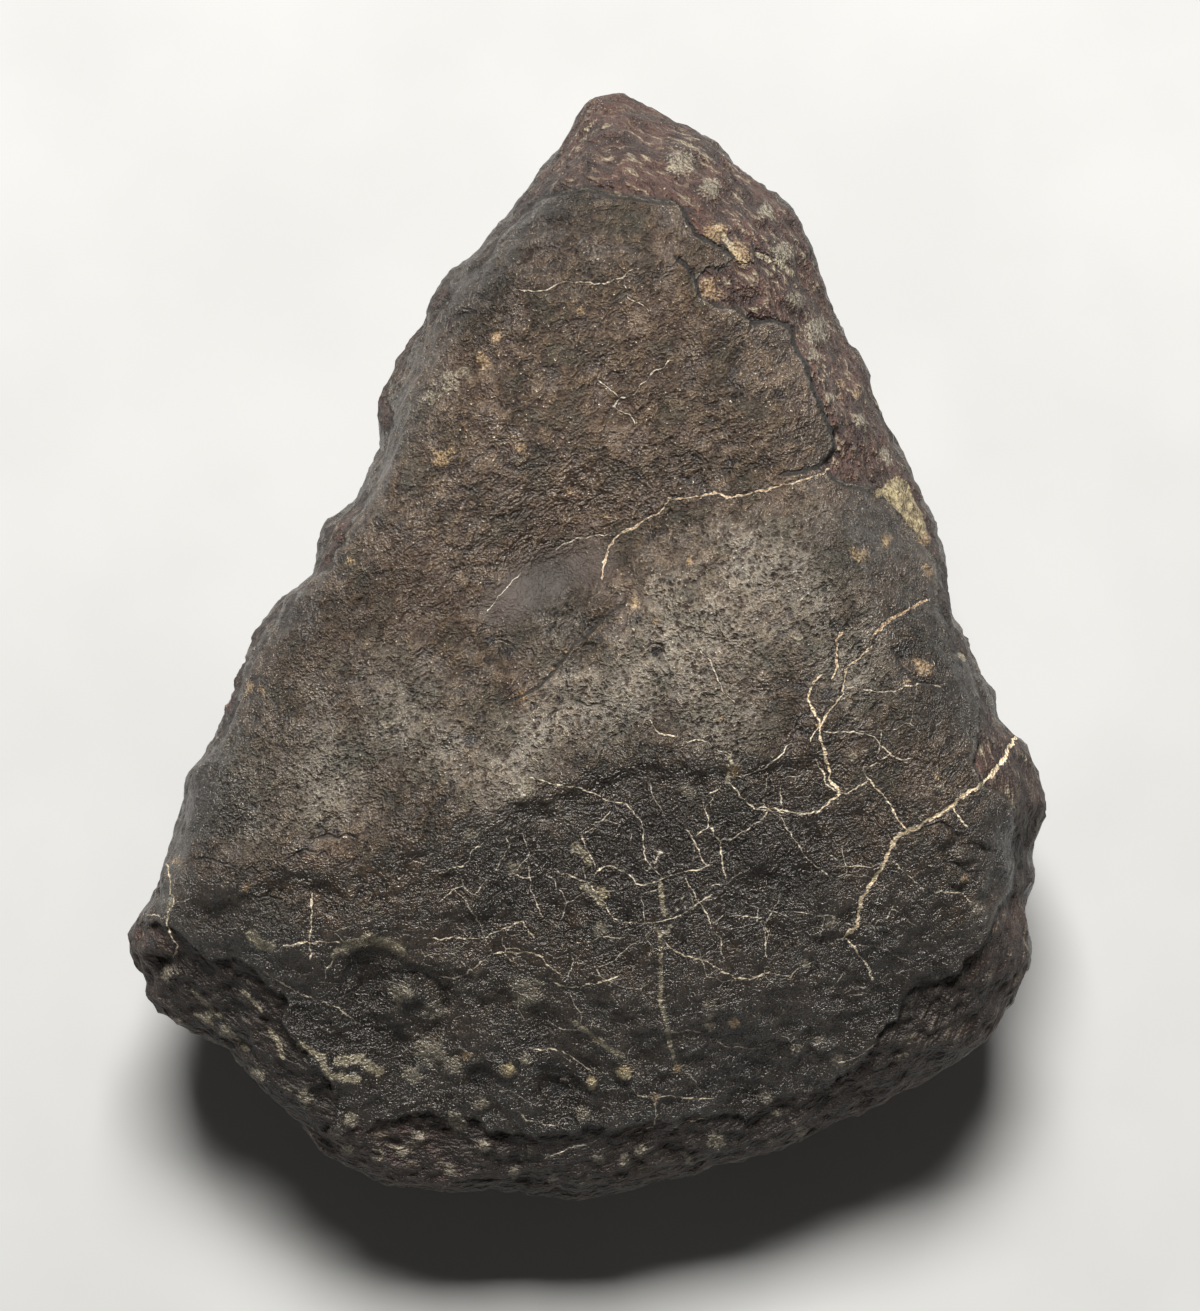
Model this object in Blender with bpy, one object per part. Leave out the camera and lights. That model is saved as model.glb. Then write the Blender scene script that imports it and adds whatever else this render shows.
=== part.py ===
"""A chondrite meteorite: one stone with a rounded-triangle plan, lying on its underside.

+Z is up, +Y points to the narrow end and +X to the chipped flank. The origin is on the resting face,
under the centre of the stone's box. The lists below are in millimetres, and the mesh is in metres.
"""

import math

import bmesh
import bpy
import numpy as np
from mathutils import Vector, noise

MM = 0.001

# Cells along each edge of the cube that the stone is drawn out of, and the roundness of the blends.
CELLS = 26
CROWN_BLEND = 4.0
UNDERSIDE_BLEND = 5.0

# The middle of the plan, which every radius is measured from.
MIDDLE = (4.0, -15.0)

# The widest outline seen from above, clockwise from the narrow end.
OUTLINE = [
    (4.0, 110.5), (9.0, 110.0), (21.0, 105.0), (30.0, 98.0), (40.0, 90.5), (45.5, 82.5),
    (50.0, 70.5), (53.0, 62.5), (58.0, 53.5), (62.5, 42.5), (68.0, 30.5), (72.5, 18.5),
    (74.0, 7.5), (78.0, -1.5), (83.0, -9.5), (84.5, -14.5), (88.0, -18.5), (91.5, -28.5),
    (92.0, -33.5), (90.0, -41.5), (90.5, -46.0), (89.0, -53.5), (89.5, -61.5), (87.0, -69.5),
    (81.0, -77.5), (71.0, -85.5), (56.0, -93.5), (37.0, -101.5), (22.5, -105.5), (7.0, -109.5),
    (-3.0, -110.5), (-17.0, -109.0), (-31.0, -109.5), (-41.0, -107.0), (-51.0, -102.0),
    (-60.0, -93.5), (-71.0, -82.5), (-79.0, -77.5), (-87.0, -70.5), (-89.0, -65.5),
    (-92.0, -58.5), (-88.0, -51.5), (-84.0, -37.5), (-81.0, -26.5), (-76.0, -17.5),
    (-69.0, -1.5), (-64.0, 6.5), (-56.5, 14.5), (-53.5, 22.5), (-47.0, 30.5), (-42.5, 42.5),
    (-42.0, 50.5), (-35.5, 62.5), (-32.0, 70.5), (-21.5, 82.5), (-12.0, 94.5), (-1.5, 106.5),
]

# Away from the widest level the outline's notches fade, into a radius evened over these degrees.
EVEN_OUT_DEGREES = 30
NOTCH_FADE = 14

# Height of the widest level round the stone: bearing from +X in degrees, height.
GIRTH = [
    (0, 48), (25, 44), (50, 42), (75, 44), (90, 48), (110, 47), (140, 42), (175, 42), (200, 47),
    (208, 49), (220, 45), (240, 38), (260, 34), (280, 33), (300, 34), (320, 38), (340, 44),
]

# How squarely the flank meets the crown and the underside: bearing in degrees, exponent.
CROWN_SQUARENESS = [
    (0, 10.0), (45, 8.0), (75, 11.0), (90, 14.0), (110, 12.0), (130, 10.0), (170, 12.0),
    (205, 14.0), (225, 10.0), (250, 7.0), (275, 6.0), (305, 7.0), (330, 9.0),
]
UNDERSIDE_SQUARENESS = [
    (0, 8.0), (45, 7.0), (90, 11.0), (140, 8.0), (180, 9.0), (207, 12.0), (230, 7.0), (260, 6.0),
    (290, 7.0), (330, 8.5),
]

# Faces of the crown: a point on it (x, y, z), its slope in degrees, and the bearing it falls to.
CROWN_FACES = {
    "upper_face": (0, 30, 94, 5, 85),
    "shoulder": (30, -10, 98, 3, 230),
    "front_face": (5, -27, 95, 29, 272),
    "left_shelf": (-52, -25, 90, 13, 190),
    "right_shoulder": (60, 12, 92, 36, 20),
    "lower_right_face": (64, -40, 88, 24, 322),
    "narrow_end": (2, 82, 90, 30, 88),
    "upper_right_chip": (36, 66, 89, 36, 28),
    "lower_left_face": (-70, -66, 76, 27, 235),
}

# Faces of the underside, in the same form: here the slope rises towards the bearing.
UNDERSIDE_FACES = {
    "base": (0, -18, 0, 0, 0),
    "under_front": (0, -70, 0, 6, 268),
    "under_narrow_end": (0, 24, 0, 6, 94),
    "under_left": (-40, -24, 0, 7, 200),
    "under_right": (46, -16, 0, 8, 350),
    "under_lower_left": (-48, -70, 2, 24, 228),
    "under_upper_left": (-24, 36, 2, 18, 148),
    "under_upper_right": (38, 32, 2, 15, 28),
}

# The underside bellies down to this place (x, y), on a ball of this radius.
BELLY = (1, -14)
BELLY_RADIUS = 520

# The valley across the crown, between the upper face and the shoulder: (x, y, depth) along it.
VALLEY = [
    (62, 34, 0.5), (42, 32, 3.5), (24, 29, 6.5), (8, 23, 9.5), (-8, 15, 11.5), (-30, 3, 10.0),
    (-52, -6, 6.5), (-78, -16, 3.0),
]
VALLEY_HALF_WIDTH = 17.0

# Thumbprints and swellings: centre (x, y, z), radius, depth. A negative depth stands proud.
HOLLOWS = {
    "front_bowl": (-38, -74, 70, 22, 4.5),
    "front_swelling": (12, -62, 78, 30, -3.0),
    "shoulder_knob": (40, 14, 94, 28, -3.5),
    "ridge_swelling": (-18, -36, 92, 24, -2.0),
    "lower_right_hollow": (64, -66, 70, 26, 3.0),
    "upper_trough": (10, 52, 92, 22, 2.5),
    "upper_left_dish": (-20, 54, 90, 19, 1.8),
    "right_scoop": (60, 32, 78, 22, 4.0),
    "left_scoop": (-72, -4, 70, 24, 4.0),
    "lower_left_scoop": (-72, -72, 70, 24, 3.0),
    "front_left_scoop": (-30, -96, 60, 22, 3.0),
    "front_right_scoop": (40, -90, 62, 24, 3.5),
    "right_wall_scoop": (90, -44, 66, 18, 3.0),
    "upper_left_wall_scoop": (-38, 46, 76, 24, 4.0),
    "upper_right_wall_scoop": (50, 62, 72, 22, 3.5),
    "narrow_end_scoop": (-6, 104, 68, 18, 2.5),
    "underside_thumbprint": (-4, 64, 10, 30, 5.0),
    "underside_left_print": (-56, -30, 12, 26, 4.5),
    "underside_right_print": (64, -34, 10, 26, 4.5),
    "underside_front_print": (8, -84, 6, 26, 4.5),
    "underside_upper_left_print": (-36, 26, 14, 20, 3.0),
    "underside_upper_right_print": (48, 34, 14, 20, 3.0),
}

# The stone's own slow unevenness.
LUMP_SIZE = 34.0
LUMP_HEIGHT = 1.3

# The resting face is cut off flat at this height, and the stone then stands on it.
FOOT_CUT = 0.8

CRUST_COLOUR = (0.052, 0.045, 0.040, 1.0)
CRUST_ROUGHNESS = 0.55


def closed_curve(points, steps=12):
    """Points along a smooth closed curve through the given ones (a Catmull-Rom curve)."""
    knots = np.array(points, float)
    before, after, next_but_one = (np.roll(knots, turn, axis=0) for turn in (1, -1, -2))
    curve = []
    for t in np.arange(steps) / steps:
        curve.append(
            0.5 * (
                2 * knots
                + (after - before) * t
                + (2 * before - 5 * knots + 4 * after - next_but_one) * t**2
                + (3 * knots - before - 3 * after + next_but_one) * t**3
            )
        )
    return np.stack(curve, axis=1).reshape(-1, 2)


def around(table, bearing):
    """The value at each bearing, in radians, of a table of (degrees, value) round the stone."""
    degrees, values = np.array(table, float).T
    return np.interp(np.degrees(bearing) % 360, degrees, values, period=360)


def plan_radius(bearing, reach):
    """Distance from the middle to the flank at each bearing, in radians.

    At the widest level, where the reach is 1, it follows every notch of the outline.
    """
    curve = closed_curve(OUTLINE) - MIDDLE
    angle = np.degrees(np.arctan2(curve[:, 1], curve[:, 0])) % 360
    order = np.argsort(angle)
    whole_degrees = np.arange(360)
    notched = np.interp(whole_degrees, angle[order], np.hypot(*curve.T)[order], period=360)
    turns = range(-(EVEN_OUT_DEGREES // 2), EVEN_OUT_DEGREES // 2 + 1)
    even = np.mean([np.roll(notched, turn) for turn in turns], axis=0)
    notches = np.interp(np.degrees(bearing) % 360, whole_degrees, notched - even, period=360)
    even = np.interp(np.degrees(bearing) % 360, whole_degrees, even, period=360)
    return even + notches * reach**NOTCH_FADE


def face_height(face, x, y, rising):
    """Height of a sloping face over each place in the plan. It falls to its bearing, or rises."""
    x0, y0, z0, slope, bearing = face
    run = (x - x0) * math.cos(math.radians(bearing)) + (y - y0) * math.sin(math.radians(bearing))
    return z0 + rising * run * math.tan(math.radians(slope))


def blended(heights, softness):
    """The greatest of the heights, rounded where two meet. A negative softness takes the least."""
    heights = np.array(heights) / softness
    top = heights.max(axis=0)
    return softness * (top + np.log(np.exp(heights - top).sum(axis=0)))


def valley_depth(x, y):
    """How deep the valley is over each place in the plan."""
    deepest = np.zeros(x.shape)
    for (x0, y0, depth0), (x1, y1, depth1) in zip(VALLEY, VALLEY[1:]):
        run = ((x - x0) * (x1 - x0) + (y - y0) * (y1 - y0)) / ((x1 - x0) ** 2 + (y1 - y0) ** 2)
        run = np.clip(run, 0, 1)
        gap = np.hypot(x - x0 - run * (x1 - x0), y - y0 - run * (y1 - y0))
        depth = (depth0 + run * (depth1 - depth0)) * np.exp(-((gap / VALLEY_HALF_WIDTH) ** 2))
        deepest = np.maximum(deepest, depth)
    return deepest


def crown_height(x, y):
    faces = [face_height(face, x, y, -1) for face in CROWN_FACES.values()]
    return blended(faces, -CROWN_BLEND) - valley_depth(x, y)


def underside_height(x, y):
    faces = [face_height(face, x, y, 1) for face in UNDERSIDE_FACES.values()]
    belly = ((x - BELLY[0]) ** 2 + (y - BELLY[1]) ** 2) / (2 * BELLY_RADIUS)
    return blended(faces, UNDERSIDE_BLEND) + belly


def stone_points(directions):
    """Where each direction of a unit ball goes on the stone, before its hollows."""
    bearing = np.arctan2(directions[:, 1], directions[:, 0])
    reach = np.hypot(directions[:, 0], directions[:, 1])
    radius = reach * plan_radius(bearing, reach)
    x = MIDDLE[0] + radius * np.cos(bearing)
    y = MIDDLE[1] + radius * np.sin(bearing)
    girth = around(GIRTH, bearing)
    above = directions[:, 2] > 0
    crown_square = around(CROWN_SQUARENESS, bearing)
    underside_square = around(UNDERSIDE_SQUARENESS, bearing)
    fullness = np.sqrt(np.clip(1 - reach ** np.where(above, crown_square, underside_square), 0, 1))
    ceiling = np.where(above, crown_height(x, y), underside_height(x, y))
    return np.stack([x, y, girth + (ceiling - girth) * fullness], axis=1)


def ball():
    """A cube from -1 to 1 cut into cells and blown up to a unit ball, its cells all much of a size."""
    mesh = bmesh.new()
    bmesh.ops.create_cube(mesh, size=2)
    bmesh.ops.subdivide_edges(mesh, edges=mesh.edges[:], cuts=CELLS - 1, use_grid_fill=True)
    for vertex in mesh.verts:
        vertex.co = Vector([math.tan(c * math.pi / 4) for c in vertex.co]).normalized()
    return mesh


def press_in(mesh):
    """Presses the hollows into the surface, and the stone's slow lumps, both along its normals."""
    mesh.normal_update()
    moves = []
    for vertex in mesh.verts:
        depth = -LUMP_HEIGHT * noise.noise(vertex.co / LUMP_SIZE)
        for x, y, z, radius, deepest in HOLLOWS.values():
            nearness = 1 - (vertex.co - Vector((x, y, z))).length_squared / radius**2
            if nearness > 0:
                depth += deepest * nearness**2
        moves.append(vertex.normal * -depth)
    for vertex, move in zip(mesh.verts, moves):
        vertex.co += move


def cut_foot(mesh):
    """Cuts the underside off flat, and moves the stone so that the cut face is at height 0."""
    lowest = min(vertex.co.z for vertex in mesh.verts)
    level = Vector((0, 0, lowest + FOOT_CUT))
    whole = mesh.verts[:] + mesh.edges[:] + mesh.faces[:]
    cut = bmesh.ops.bisect_plane(
        mesh, geom=whole, plane_co=level, plane_no=(0, 0, -1), clear_outer=True
    )
    rim = [edge for edge in cut["geom_cut"] if isinstance(edge, bmesh.types.BMEdge)]
    bmesh.ops.contextual_create(mesh, geom=rim)
    bmesh.ops.translate(mesh, verts=mesh.verts[:], vec=-level)


def centre_plan(mesh):
    """Moves the stone so that the middle of its box is over the origin."""
    places = np.array([vertex.co for vertex in mesh.verts])
    middle = (places.min(axis=0) + places.max(axis=0)) / 2
    bmesh.ops.translate(mesh, verts=mesh.verts[:], vec=(-middle[0], -middle[1], 0))


def crust():
    material = bpy.data.materials.new("fusion_crust")
    material.use_nodes = True
    shader = material.node_tree.nodes["Principled BSDF"]
    shader.inputs["Base Color"].default_value = CRUST_COLOUR
    shader.inputs["Roughness"].default_value = CRUST_ROUGHNESS
    shader.inputs["Metallic"].default_value = 0.0
    return material


def meteorite(collection):
    mesh = ball()
    places = stone_points(np.array([vertex.co for vertex in mesh.verts]))
    for vertex, place in zip(mesh.verts, places):
        vertex.co = place
    press_in(mesh)
    cut_foot(mesh)
    centre_plan(mesh)
    bmesh.ops.scale(mesh, verts=mesh.verts[:], vec=(MM, MM, MM))
    bmesh.ops.triangulate(mesh, faces=mesh.faces[:])
    bmesh.ops.recalc_face_normals(mesh, faces=mesh.faces[:])
    data = bpy.data.meshes.new("meteorite")
    mesh.to_mesh(data)
    mesh.free()
    data.shade_smooth()
    data.materials.append(crust())
    stone = bpy.data.objects.new("meteorite", data)
    collection.objects.link(stone)


def main():
    for item in list(bpy.data.objects):
        bpy.data.objects.remove(item)
    collection = bpy.data.collections.new("chondrite_meteorite")
    bpy.context.scene.collection.children.link(collection)
    meteorite(collection)


main()
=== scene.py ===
"""A stony meteorite on a pale table: wrinkled dark crust, tan-filled cracks and chipped stone.

The stone's marks are placed by pixels of the 1200 by 1311 photograph, through the camera that is made
here, so each mark sits on the stone's own surface. Sizes in millimetres end in _MM; the rest is metres.
"""

import bmesh
import bpy
import numpy as np
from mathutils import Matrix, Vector, noise


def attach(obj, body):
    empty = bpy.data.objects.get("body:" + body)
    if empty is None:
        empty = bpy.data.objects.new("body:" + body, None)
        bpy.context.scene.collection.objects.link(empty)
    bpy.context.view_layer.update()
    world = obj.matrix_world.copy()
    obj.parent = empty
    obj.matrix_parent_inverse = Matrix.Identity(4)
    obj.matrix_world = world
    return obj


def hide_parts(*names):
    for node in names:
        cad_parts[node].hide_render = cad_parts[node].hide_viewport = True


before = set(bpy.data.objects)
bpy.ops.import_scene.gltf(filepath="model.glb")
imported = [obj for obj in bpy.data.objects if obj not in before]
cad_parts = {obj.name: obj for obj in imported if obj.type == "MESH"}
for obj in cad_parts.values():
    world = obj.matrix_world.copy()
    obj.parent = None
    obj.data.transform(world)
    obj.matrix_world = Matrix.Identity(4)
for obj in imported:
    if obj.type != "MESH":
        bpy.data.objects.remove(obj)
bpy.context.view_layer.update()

MM = 0.001

# The photograph's frame, its scale at the stone's widest level, and the pixel over the origin.
PHOTO_WIDTH_PX = 1200
PHOTO_HEIGHT_PX = 1311
PX_PER_MM = 5.0
ORIGIN_PX = np.array([586.0, 648.5])
WIDEST_LEVEL_MM = 45.0
LENS_MM = 130.0
SENSOR_MM = 36.0
CAMERA_REACH_MM = PHOTO_HEIGHT_PX / PX_PER_MM * LENS_MM / SENSOR_MM
CAMERA_HEIGHT_MM = WIDEST_LEVEL_MM + CAMERA_REACH_MM
CENTRE_PX = np.array([PHOTO_WIDTH_PX / 2, PHOTO_HEIGHT_PX / 2])

# Longest edge of the finished mesh: on the crown, the flanks, the underside and along a crack.
CROWN_EDGE_MM = 1.3
FLANK_EDGE_MM = 1.8
UNDERSIDE_EDGE_MM = 3.2
CRACK_EDGE_MM = 0.8

# How near the crust's edge, and how near a crack, the mesh is that fine.
CRUST_EDGE_REACH_MM = 0.8
CRACK_REACH_MM = 0.9

# The photographed outline: its radius in pixels at even angles about a middle, from +X towards +Y.
OUTLINE_MIDDLE_PX = np.array([606.0, 720.0])
OUTLINE_RADII_PX = [
    403, 399, 391, 382, 378, 375, 371, 367, 370, 371, 376, 380, 383, 388, 390, 393, 397, 402, 406, 412,
    418, 425, 443, 449, 459, 474, 491, 511, 529, 546, 559, 566, 577, 591, 602, 608, 616, 624, 620, 595,
    570, 549, 526, 512, 497, 486, 476, 462, 440, 432, 423, 410, 400, 384, 365, 357, 349, 343, 340, 342,
    345, 344, 338, 335, 333, 340, 348, 352, 358, 365, 369, 372, 375, 379, 387, 393, 400, 410, 427, 434,
    442, 455, 466, 481, 494, 522, 530, 530, 536, 533, 526, 518, 508, 508, 507, 509, 509, 510, 515, 518,
    519, 517, 515, 510, 505, 499, 492, 487, 487, 484, 482, 483, 479, 476, 473, 469, 466, 465, 465, 463,
    466, 466, 466, 467, 467, 469, 473, 473, 477, 483, 486, 491, 494, 498, 499, 496, 495, 493, 486, 476,
    466, 464, 457, 451, 452, 451, 444, 437, 430, 420,
]

# Cracks as lines of pixels, each with its half-width in millimetres: filled, open and hair-thin.
FILLED_CRACKS = [
    (0.20, [
        (829, 470), (810, 478), (782, 486), (770, 489), (748, 493), (729, 499), (715, 491), (702, 496),
        (690, 497), (669, 499), (660, 512), (646, 520), (629, 530), (618, 535), (610, 545), (604, 562),
        (601, 578),
    ]),
    (0.42, [
        (1015, 738), (1009, 747), (1003, 761), (993, 772), (984, 782), (972, 790), (963, 797), (951, 805),
        (942, 813), (928, 820), (917, 827), (905, 833), (896, 837), (892, 845), (887, 857), (877, 873),
        (862, 899), (856, 927), (846, 936),
    ]),
    (0.34, [(926, 601), (919, 604), (905, 611), (894, 617), (882, 626), (875, 635)]),
    (0.24, [(842, 633), (837, 640), (837, 656), (837, 667), (832, 679)]),
    (0.24, [(821, 676), (815, 682), (811, 690), (808, 700), (814, 711), (819, 719), (820, 728)]),
    (0.20, [
        (871, 646), (859, 658), (846, 667), (844, 682), (842, 694), (837, 703), (825, 717),
        (821, 725),
    ]),
    (0.28, [(820, 728), (822, 738), (825, 751), (827, 767), (830, 778), (837, 790), (838, 795)]),
    (0.22, [(869, 780), (879, 791), (890, 805), (898, 818), (907, 830)]),
]
OPEN_CRACKS = [
    (0.20, [
        (623, 605), (610, 612), (600, 622), (587, 635), (573, 646), (564, 660), (552, 674), (536, 689),
        (522, 696), (503, 704),
    ]),
    (0.32, [(683, 210), (688, 222), (695, 234), (708, 242), (722, 248), (734, 258)]),
    (0.30, [(677, 259), (688, 268), (695, 280), (700, 296)]),
    (0.40, [
        (752, 323), (772, 321), (788, 326), (793, 338), (797, 352), (806, 364), (812, 388), (819, 402),
        (826, 420), (833, 436), (834, 448), (828, 458), (816, 467), (800, 472), (782, 475),
    ]),
    (0.24, [(833, 478), (842, 486), (862, 489), (874, 496)]),
    (0.20, [
        (505, 206), (524, 207), (539, 198), (560, 194), (588, 191), (611, 198), (632, 199), (651, 202),
        (672, 204),
    ]),
    (0.20, [(892, 648), (902, 667), (917, 682), (932, 686), (942, 692)]),
    (0.13, [(826, 612), (831, 622), (838, 632)]),
    (0.12, [(196, 860), (206, 858), (216, 862), (226, 863), (234, 868)]),
    (0.12, [(243, 893), (256, 898), (268, 896), (280, 900)]),
    (0.12, [(318, 838), (328, 834), (338, 838), (346, 834), (356, 838)]),
    (0.12, [(292, 856), (304, 850), (316, 852)]),
    (0.14, [(390, 970), (408, 968), (424, 970), (438, 980), (447, 994), (448, 1008)]),
    (0.12, [(456, 315), (468, 313), (480, 314)]),
    (0.12, [(449, 721), (457, 722), (463, 728)]),
    (0.12, [(648, 646), (655, 642), (663, 646)]),
    (0.12, [(930, 826), (940, 822), (950, 827), (958, 838)]),
    (0.12, [(962, 846), (974, 842), (984, 850), (996, 852)]),
    (0.12, [(944, 862), (956, 864), (966, 872), (980, 872)]),
    (0.12, [(500, 640), (512, 644), (520, 654)]),
    (0.12, [(575, 700), (588, 706), (600, 704)]),
]
HAIR_CRACKS = [
    (0.15, [(817, 728), (810, 742)]),
    (0.12, [(815, 759), (823, 772), (827, 784), (837, 794)]),
    (0.13, [
        (825, 731), (844, 732), (867, 734), (875, 738), (882, 746), (892, 755), (902, 760),
        (911, 758),
    ]),
    (0.12, [(890, 755), (875, 763), (863, 769), (869, 780)]),
    (0.18, [(951, 807), (959, 818), (967, 826)]),
    (0.15, [(838, 795), (848, 793), (856, 788), (867, 781)]),
    (0.16, [(838, 795), (827, 805), (819, 811), (806, 813), (785, 811), (760, 807)]),
    (0.11, [(779, 814), (785, 828), (798, 843), (806, 858), (817, 866), (829, 878)]),
    (0.12, [(846, 687), (859, 688), (875, 692), (894, 692), (907, 685), (923, 684), (940, 686)]),
    (0.18, [(847, 938), (856, 952), (866, 964), (873, 980)]),
    (0.11, [(852, 947), (870, 946), (887, 950), (900, 960), (913, 961)]),
    (0.10, [(833, 868), (852, 866), (872, 867)]),
    (0.11, [(893, 862), (905, 872), (915, 882), (925, 892)]),
    (0.13, [(933, 893), (945, 892), (956, 893), (966, 897), (976, 906)]),
    (0.11, [(671, 360), (652, 374), (642, 384), (632, 395), (619, 399), (613, 406)]),
    (0.10, [(613, 406), (631, 416), (634, 425)]),
    (0.09, [(598, 378), (608, 388), (619, 397)]),
    (0.12, [
        (514, 289), (533, 291), (545, 291), (560, 282), (581, 282), (604, 284), (621, 278),
        (632, 270),
    ]),
    (0.10, [(626, 284), (629, 298), (640, 303), (650, 312)]),
    (0.11, [(556, 549), (576, 539), (604, 534), (612, 532)]),
    (0.08, [(488, 611), (497, 598), (510, 583), (521, 572)]),
    (0.13, [(530, 777), (548, 783), (565, 786), (580, 788), (593, 792), (603, 799), (614, 802)]),
    (0.12, [(614, 802), (627, 804), (634, 812), (642, 823), (645, 842), (645, 861)]),
    (0.10, [(611, 812), (603, 818), (592, 828), (582, 835)]),
    (0.13, [(582, 835), (586, 846), (590, 855), (596, 868)]),
    (0.11, [(509, 874), (527, 879), (533, 876)]),
    (0.13, [
        (557, 871), (574, 877), (590, 883), (598, 896), (607, 909), (618, 922), (635, 923), (657, 922),
        (676, 918), (689, 909), (700, 902), (713, 894),
    ]),
    (0.13, [
        (594, 876), (600, 868), (611, 866), (626, 872), (636, 885), (648, 884), (665, 878), (685, 872),
        (700, 870), (709, 866),
    ]),
    (0.12, [(646, 862), (660, 875)]),
    (0.12, [(687, 829), (694, 840), (700, 853), (706, 866)]),
    (0.13, [(720, 841), (722, 859), (726, 881)]),
    (0.13, [(685, 875), (691, 888), (698, 901), (707, 914), (713, 931), (721, 940), (722, 953)]),
    (0.12, [(713, 922), (726, 915), (744, 916), (763, 917)]),
    (0.12, [(763, 920), (765, 938), (766, 957)]),
    (0.15, [
        (666, 944), (679, 953), (694, 958), (707, 961), (720, 970), (735, 978), (752, 980),
        (770, 972),
    ]),
    (0.13, [(770, 972), (778, 976), (790, 977), (801, 967), (813, 961)]),
    (0.09, [(791, 911), (815, 916), (837, 918)]),
    (0.12, [(697, 835), (709, 827), (706, 812), (703, 797), (712, 792), (722, 785)]),
    (0.12, [(709, 827), (720, 841), (735, 838), (748, 829), (762, 820), (770, 809)]),
    (0.13, [(734, 755), (719, 750), (706, 740), (687, 742), (677, 736), (658, 734), (648, 721)]),
    (0.14, [(728, 783), (735, 790), (745, 802), (754, 809), (783, 812)]),
    (0.11, [(737, 777), (751, 773), (763, 769), (778, 757), (792, 743)]),
    (0.11, [(780, 783), (783, 812)]),
    (0.10, [(700, 650), (712, 664), (722, 690), (735, 702)]),
    (0.12, [(440, 901), (453, 890), (466, 901), (475, 914), (481, 927), (484, 935), (492, 952)]),
    (0.13, [
        (424, 938), (440, 938), (460, 939), (483, 938), (496, 933), (509, 926), (522, 922), (529, 931),
        (535, 937),
    ]),
    (0.13, [(492, 953), (479, 964), (466, 973), (453, 979), (442, 978)]),
    (0.13, [(492, 953), (512, 952), (531, 953), (540, 957), (553, 968), (560, 976)]),
    (0.14, [(555, 982), (565, 987), (581, 986), (596, 983), (609, 980), (618, 976)]),
    (0.11, [(577, 942), (592, 940), (607, 937), (622, 939)]),
    (0.10, [(491, 876), (483, 883), (475, 896)]),
    (0.11, [(527, 862), (529, 875), (531, 890), (540, 909), (544, 920)]),
    (0.10, [(436, 876), (450, 868), (463, 866), (475, 850), (484, 842)]),
    (0.10, [(495, 872), (503, 858), (510, 846), (506, 838)]),
    (0.14, [(530, 1048), (544, 1050), (557, 1049), (568, 1055), (579, 1061), (590, 1070)]),
    (0.13, [
        (633, 1089), (637, 1096), (648, 1097), (668, 1097), (681, 1097), (694, 1099), (713, 1098),
    ]),
    (0.12, [(655, 1102), (656, 1126), (635, 1133)]),
    (0.12, [(668, 1128), (683, 1122), (698, 1120), (705, 1118)]),
    (0.10, [(516, 1111), (527, 1120), (542, 1123), (559, 1126)]),
    (0.10, [(544, 1160), (557, 1154), (570, 1147), (592, 1144)]),
    (0.10, [(718, 1042), (731, 1048), (748, 1047), (761, 1049)]),
    (0.10, [(670, 1032), (685, 1031), (700, 1031)]),
    (0.12, [(838, 1062), (852, 1060), (866, 1051), (880, 1042)]),
    (0.19, [
        (167, 864), (171, 890), (174, 903), (168, 912), (167, 925), (172, 938), (177, 946),
        (174, 957),
    ]),
    (0.12, [(174, 903), (189, 900)]),
    (0.10, [(146, 914), (158, 916), (166, 918)]),
    (0.16, [(312, 894), (311, 922), (310, 940), (310, 961)]),
    (0.16, [(284, 945), (300, 943), (320, 942), (340, 943)]),
    (0.12, [(325, 981), (326, 970), (336, 958)]),
    (0.12, [(263, 970), (280, 983), (309, 998), (328, 1003), (346, 1013), (361, 1026)]),
]

# Solid patches of cream mineral, as closed outlines of pixels.
CREAM_PATCHES = [
    [
        (899, 476), (888, 480), (881, 490), (888, 503), (901, 514), (920, 538), (932, 527), (926, 503),
        (916, 487),
    ],
    [(616, 1066), (628, 1068), (634, 1076), (624, 1080), (614, 1074)],
    [(586, 1074), (596, 1076), (596, 1088), (588, 1092)],
    [(498, 1064), (512, 1064), (518, 1072), (508, 1080), (500, 1074)],
    [(872, 490), (882, 489), (884, 496), (876, 498)],
    [(597, 884), (606, 888), (610, 896), (602, 900), (596, 892)],
]

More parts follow.
